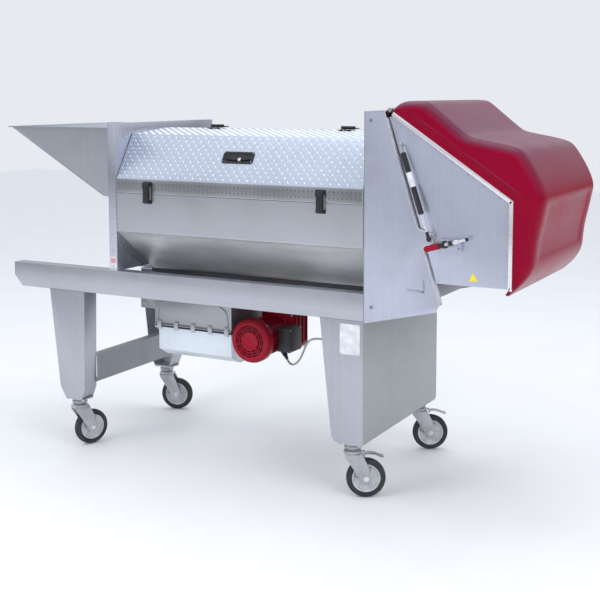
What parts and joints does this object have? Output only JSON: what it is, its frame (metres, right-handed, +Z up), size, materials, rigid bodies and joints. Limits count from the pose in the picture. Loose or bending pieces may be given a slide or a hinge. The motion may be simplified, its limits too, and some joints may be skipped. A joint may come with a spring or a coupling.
{
  "type": "grape crusher destemmer",
  "caption": "Grape crusher destemmer on casters: end hopper, tread-plate lid over the cage, roller crusher with red gearmotor and a hinged red drive hood.",
  "frame": {"origin": "centre of the overall box at floor level, where the casters stand", "axes": "+X towards the red drive head, -X the feed hopper, -Y the front with the opening lid, +Z up"},
  "size_m": [2.518, 0.8492, 1.59],
  "materials": {
    "stainless": "brushed stainless sheet",
    "dull_stainless": "duller stainless sheet",
    "tread_plate": "raised tread pattern",
    "polished": "bright stainless",
    "end_panel": "satin",
    "red_hood": "crimson gloss moulding",
    "red_paint": "red enamel",
    "grey_cast": "grey",
    "zinc": "zinc plated",
    "black_plastic": "black",
    "black_paint": "black tube",
    "rubber": "black",
    "wheel": "black tyre on a grey hub"
  },
  "bodies": {
    "frame": {"beater_belt": "rubber", "cage_belt": "rubber", "crusher_gearbox": "red_paint", "crusher_housing": "grey_cast", "crusher_motor": "red_paint", "drive_bearing": "grey_cast", "drive_wall": "stainless", "end_panel_lower": "end_panel", "end_plate_left": "stainless", "end_plate_right": "stainless", "feed_bearing": "grey_cast", "feed_hopper": "stainless", "gusset_front": "stainless", "gusset_rear": "stainless", "hinge_left": "black_plastic", "hinge_right": "black_plastic", "leg_left_front": "stainless", "leg_left_rear": "stainless", "leg_right_front": "stainless", "leg_right_rear": "stainless", "leg_tie": "dull_stainless", "main_motor": "red_paint", "motor_cable": "black_plastic", "must_tray": "polished", "rail_front": "stainless", "rail_rear": "stainless", "rear_cover": "tread_plate", "trough_front": "stainless", "trough_outlet": "dull_stainless", "trough_rear": "stainless"},
    "front_lid": {"lid": "tread_plate", "lid_handle": "black_plastic"},
    "latch_left": {"latch_left": "black_plastic"},
    "latch_right": {"latch_right": "black_plastic"},
    "cage": {"cage": "polished", "cage_pulley": "grey_cast"},
    "beater": {"beater": "zinc", "beater_pulley": "grey_cast"},
    "motor_shaft": {"motor_pulley": "grey_cast"},
    "roller_front": {"roller_front": "rubber"},
    "roller_rear": {"roller_rear": "rubber"},
    "head_cover": {"head_hood": "red_hood", "head_side_front": "stainless", "head_side_rear": "stainless"},
    "clamp_lever": {"clamp_lever": "red_paint"},
    "strut_front_rod": {"strut_front_rod": "zinc"},
    "strut_front_tube": {"strut_front_tube": "black_paint"},
    "strut_rear_rod": {"strut_rear_rod": "zinc"},
    "strut_rear_tube": {"strut_rear_tube": "black_paint"},
    "fork_right_front": {"fork_right_front": "zinc"},
    "wheel_right_front": {"wheel_right_front": "wheel"},
    "fork_right_rear": {"fork_right_rear": "zinc"},
    "wheel_right_rear": {"wheel_right_rear": "wheel"},
    "fork_left_front": {"fork_left_front": "zinc"},
    "wheel_left_front": {"wheel_left_front": "wheel"},
    "fork_left_rear": {"fork_left_rear": "zinc"},
    "wheel_left_rear": {"wheel_left_rear": "wheel"},
    "pedal_right_front": {"pedal_right_front": "zinc"},
    "pedal_right_rear": {"pedal_right_rear": "zinc"}
  },
  "joints": [
    {"name": "lid_open", "type": "hinge", "parent": "frame", "child": "front_lid", "pos_m": [-0.045, 0.0125, 1.472], "axis": [-1, 0, 0], "range_deg": [0, 100]},
    {"name": "latch_left_lift", "type": "hinge", "parent": "front_lid", "child": "latch_left", "pos_m": [-0.475, -0.4035, 1.2285], "axis": [-1, 0, 0], "range_deg": [0, 110]},
    {"name": "latch_right_lift", "type": "hinge", "parent": "front_lid", "child": "latch_right", "pos_m": [0.365, -0.4035, 1.2285], "axis": [-1, 0, 0], "range_deg": [0, 110]},
    {"name": "motor_spin", "type": "hinge", "parent": "frame", "child": "motor_shaft", "pos_m": [1.065, 0.1725, 1], "axis": [1, 0, 0], "continuous": true},
    {"name": "cage_spin", "type": "hinge", "parent": "frame", "child": "cage", "pos_m": [0, 0, 1.2], "axis": [1, 0, 0], "continuous": true},
    {"name": "beater_spin", "type": "hinge", "parent": "frame", "child": "beater", "pos_m": [0, 0, 1.2], "axis": [1, 0, 0], "continuous": true},
    {"name": "roller_front_spin", "type": "hinge", "parent": "frame", "child": "roller_front", "pos_m": [-0.35, -0.055, 0.65], "axis": [1, 0, 0], "continuous": true},
    {"name": "roller_rear_spin", "type": "hinge", "parent": "frame", "child": "roller_rear", "pos_m": [-0.35, 0.055, 0.65], "axis": [1, 0, 0], "continuous": true},
    {"name": "head_open", "type": "hinge", "parent": "frame", "child": "head_cover", "pos_m": [0.653, 0, 1.556], "axis": [0, -1, 0], "range_deg": [0, 60]},
    {"name": "clamp_turn", "type": "hinge", "parent": "head_cover", "child": "clamp_lever", "pos_m": [0.89, -0.409, 1.057], "axis": [0, -1, 0], "range_deg": [0, 80]},
    {"name": "strut_front_tilt", "type": "hinge", "parent": "frame", "child": "strut_front_rod", "pos_m": [0.833, -0.4135, 1.075], "axis": [0, 1, 0], "range_deg": [0, 14.37]},
    {"name": "strut_front_extend", "type": "slide", "parent": "strut_front_rod", "child": "strut_front_tube", "axis": [-0.3179, 0, 0.9481], "range_m": [0, 0.1032]},
    {"name": "strut_rear_tilt", "type": "hinge", "parent": "frame", "child": "strut_rear_rod", "pos_m": [0.833, 0.4135, 1.075], "axis": [0, 1, 0], "range_deg": [0, 14.37]},
    {"name": "strut_rear_extend", "type": "slide", "parent": "strut_rear_rod", "child": "strut_rear_tube", "axis": [-0.3179, 0, 0.9481], "range_m": [0, 0.1032]},
    {"name": "swivel_right_front", "type": "hinge", "parent": "frame", "child": "fork_right_front", "pos_m": [0.487, -0.3445, 0.2], "axis": [0, 0, 1], "continuous": true},
    {"name": "roll_right_front", "type": "hinge", "parent": "fork_right_front", "child": "wheel_right_front", "pos_m": [0.53377, -0.3175, 0.08], "axis": [-0.5, 0.866, 0], "continuous": true},
    {"name": "brake_right_front", "type": "hinge", "parent": "fork_right_front", "child": "pedal_right_front", "pos_m": [0.52727, -0.32125, 0.18], "axis": [0.5, -0.866, 0], "range_deg": [0, 12]},
    {"name": "swivel_right_rear", "type": "hinge", "parent": "frame", "child": "fork_right_rear", "pos_m": [0.487, 0.3445, 0.2], "axis": [0, 0, 1], "continuous": true},
    {"name": "roll_right_rear", "type": "hinge", "parent": "fork_right_rear", "child": "wheel_right_rear", "pos_m": [0.53377, 0.3715, 0.08], "axis": [-0.5, 0.866, 0], "continuous": true},
    {"name": "brake_right_rear", "type": "hinge", "parent": "fork_right_rear", "child": "pedal_right_rear", "pos_m": [0.52727, 0.36775, 0.18], "axis": [0.5, -0.866, 0], "range_deg": [0, 12]},
    {"name": "swivel_left_front", "type": "hinge", "parent": "frame", "child": "fork_left_front", "pos_m": [-0.91, -0.3445, 0.2], "axis": [0, 0, 1], "continuous": true},
    {"name": "roll_left_front", "type": "hinge", "parent": "fork_left_front", "child": "wheel_left_front", "pos_m": [-0.88804, -0.29517, 0.08], "axis": [-0.9135, 0.4067, 0], "continuous": true},
    {"name": "swivel_left_rear", "type": "hinge", "parent": "frame", "child": "fork_left_rear", "pos_m": [-0.91, 0.3445, 0.2], "axis": [0, 0, 1], "continuous": true},
    {"name": "roll_left_rear", "type": "hinge", "parent": "fork_left_rear", "child": "wheel_left_rear", "pos_m": [-0.85926, 0.36297, 0.08], "axis": [-0.342, 0.9397, 0], "continuous": true}
  ],
  "couplings": [
    {"joint": "cage_spin", "follows": "motor_spin", "ratio": 0.2692},
    {"joint": "beater_spin", "follows": "motor_spin", "ratio": 0.5556},
    {"joint": "roller_rear_spin", "follows": "roller_front_spin", "ratio": -1},
    {"joint": "strut_front_tilt", "follows": "head_open", "ratio": 0.23949},
    {"joint": "strut_front_extend", "follows": "head_open", "m_per_rad": 0.09808},
    {"joint": "strut_rear_tilt", "follows": "head_open", "ratio": 0.23949},
    {"joint": "strut_rear_extend", "follows": "head_open", "m_per_rad": 0.09808}
  ]
}
